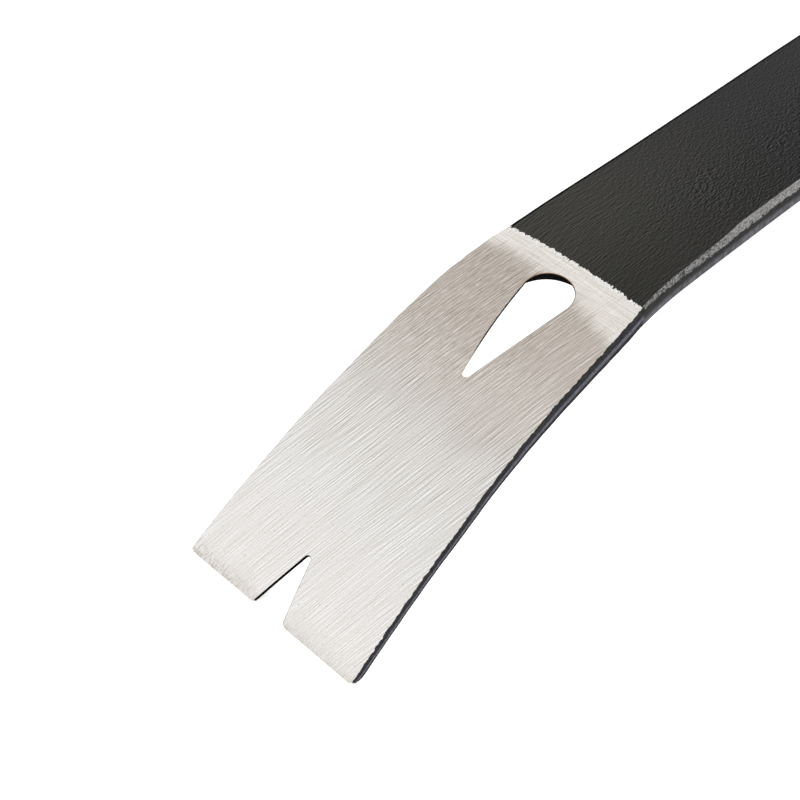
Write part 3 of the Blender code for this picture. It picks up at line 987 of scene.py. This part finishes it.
def steel_material():
    """Ground steel with a bright band by the paint, its brightness a painted highlight, and dark scale down
    the walls of its edges.
    """
    g = Graph("bare_steel")
    brush = g.attribute("brush", "Vector")
    blank = g.attribute("blank", "Vector")
    reach, y, _ = g.axes(blank)
    curved = g.product(y, y)
    medium = g.noise(brush, (0.1, 1.6, 1.0), 2.0, 0.6)
    band_end = g.math("MULTIPLY_ADD", curved, 0.009, g.math("MULTIPLY_ADD", y, -0.13, 21.5))
    feather = g.product(g.centred(medium), 9.0)
    band = g.fade(g.math("ADD", g.math("SUBTRACT", reach, band_end), feather), -1.6, 3.6)
    in_bend = g.product(g.fade(reach, 46, 62), g.math("SUBTRACT", 1.0, band))
    lines = grinding_lines(g, brush, blank, band)
    shade = ground_shade(g, brush, blank, lines, medium, in_bend)
    reflected_tones = blade_reflection_tones(g, reach, g.noise(blank, (0.06, 0.09, 0.05)))
    # Painted highlight: the cross-ground band by the paint gets a light colour, as its cross lines catch
    # the light.
    colour = g.mix(band, reflected_tones, rgba(228, 224, 217))
    warm = g.vector(g.math("POWER", shade, 0.9), shade, g.math("POWER", shade, 1.2))
    colour = g.vector_math("MULTIPLY", colour, warm)
    line_end = g.math("MULTIPLY_ADD", curved, PAINT_LINE_CURVE * MM, COAT_ON_BLADE / MM)
    past_line = g.math("SUBTRACT", reach, line_end)
    # Painted glints: near-white specks on the steel just past the paint's end.
    painted_glints = g.spread(g.noise(blank, (2.0, 2.6, 1.0), 1.0), 0.45, 0.6)
    painted_glints = g.product(painted_glints, g.spread(past_line, 0.5, 1.1, 0.85, 0.0))
    colour = g.mix(painted_glints, colour, rgba(250, 250, 252))
    middle = g.fade(g.math("ABSOLUTE", y), 7, 8)
    slot_top = g.product(g.fade(reach, 24, 29), middle)
    at_rim = g.product(g.spread(g.attribute("wall"), -0.06, 0.02), slot_top)
    colour = g.mix(at_rim, colour, rgba(164, 134, 108))
    inputs = {
        "Base Color": g.vector_math("MINIMUM", colour, (0.98, 0.98, 0.98)),
        "Metallic": 1.0,
        "Roughness": g.spread(lines, 0.3, 0.7, 0.34, 0.46),
        "Normal": g.bump(lines, 0.00002, 0.5),
    }
    metal = g.node("ShaderNodeBsdfPrincipled", inputs).outputs[0]
    dark, scale = edge_scale(g, blank, past_line, middle, slot_top)
    return g.surface(g.node("ShaderNodeMixShader", {0: dark, 1: metal, 2: scale}).outputs[0])


def floor_material():
    """Pale floor that glows a little, so that it looks as bright as the light around it."""
    g = Graph("studio_floor")
    place = g.node("ShaderNodeTexCoord").outputs["Object"]
    grain = g.spread(g.noise(place, (3.0, 3.0, 3.0)), 0.3, 0.7, 0.86, 0.9)
    inputs = {
        "Base Color": g.vector(grain, grain, grain),
        "Roughness": 0.9,
        "Emission Color": (1.0, 1.0, 1.0, 1.0),
        "Emission Strength": 0.62,
        "Specular IOR Level": 0.0,
    }
    return g.surface(g.node("ShaderNodeBsdfPrincipled", inputs).outputs[0])


# ---- Studio ----------------------------------------------------------------------------------------


def make_floor():
    """A flat square floor."""
    half = 6.0
    mesh = bpy.data.meshes.new("studio_floor")
    corners = [(-half, -half, 0), (half, -half, 0), (half, half, 0), (-half, half, 0)]
    mesh.from_pydata(corners, [], [(0, 1, 2, 3)])
    mesh.materials.append(floor_material())
    floor = bpy.data.objects.new("studio_floor", mesh)
    bpy.context.scene.collection.objects.link(floor)


def make_world():
    """White light from all around, as in a light tent."""
    world = bpy.data.worlds.new("light_tent")
    bpy.context.scene.world = world
    world.use_nodes = True
    background = world.node_tree.nodes["Background"]
    background.inputs["Color"].default_value = (1.0, 1.0, 1.0, 1.0)
    background.inputs["Strength"].default_value = 0.98


def make_softbox(name, place, aim, size, power):
    """A rectangular light that the steel doesn't mirror."""
    data = bpy.data.lights.new(name, "AREA")
    data.shape = "RECTANGLE"
    data.size, data.size_y = size
    data.energy = power
    light = bpy.data.objects.new(name, data)
    light.visible_glossy = False
    bpy.context.scene.collection.objects.link(light)
    towards = (Vector(aim) - Vector(place)).to_track_quat("-Z", "Y")
    light.matrix_world = Matrix.Translation(place) @ towards.to_matrix().to_4x4()


def make_camera():
    """A camera placed in the body's own frame."""
    data = bpy.data.cameras.new("camera")
    data.lens = VIEW_LENS
    camera = bpy.data.objects.new("camera", data)
    bpy.context.scene.collection.objects.link(camera)
    bpy.context.scene.camera = camera
    start, aim = (Vector(p) for p in laid_down([VIEW_FROM, VIEW_AT]))
    towards = (aim - start).to_track_quat("-Z", "Y").to_matrix().to_4x4()
    camera.matrix_world = Matrix.Translation(start) @ towards @ Matrix.Rotation(VIEW_ROLL, 4, "Z")


def main():
    """Makes both pieces, and the studio around them."""
    for piece, node, slot, material in (
        (make_steel(), "forged_bar", "bare_steel", steel_material()),
        (make_coat(), "black_coating", "black_paint", paint_material()),
    ):
        piece.data.materials.append(material)
        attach(piece, "root")
        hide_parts(node)
    make_floor()
    make_world()
    make_softbox("right_softbox", (0.35, -0.75, 0.45), (-0.05, 0.0, 0.0), (0.5, 0.4), 3.0)
    make_camera()
    bpy.context.scene.view_settings.view_transform = "Standard"


main()
bpy.context.view_layer.update()
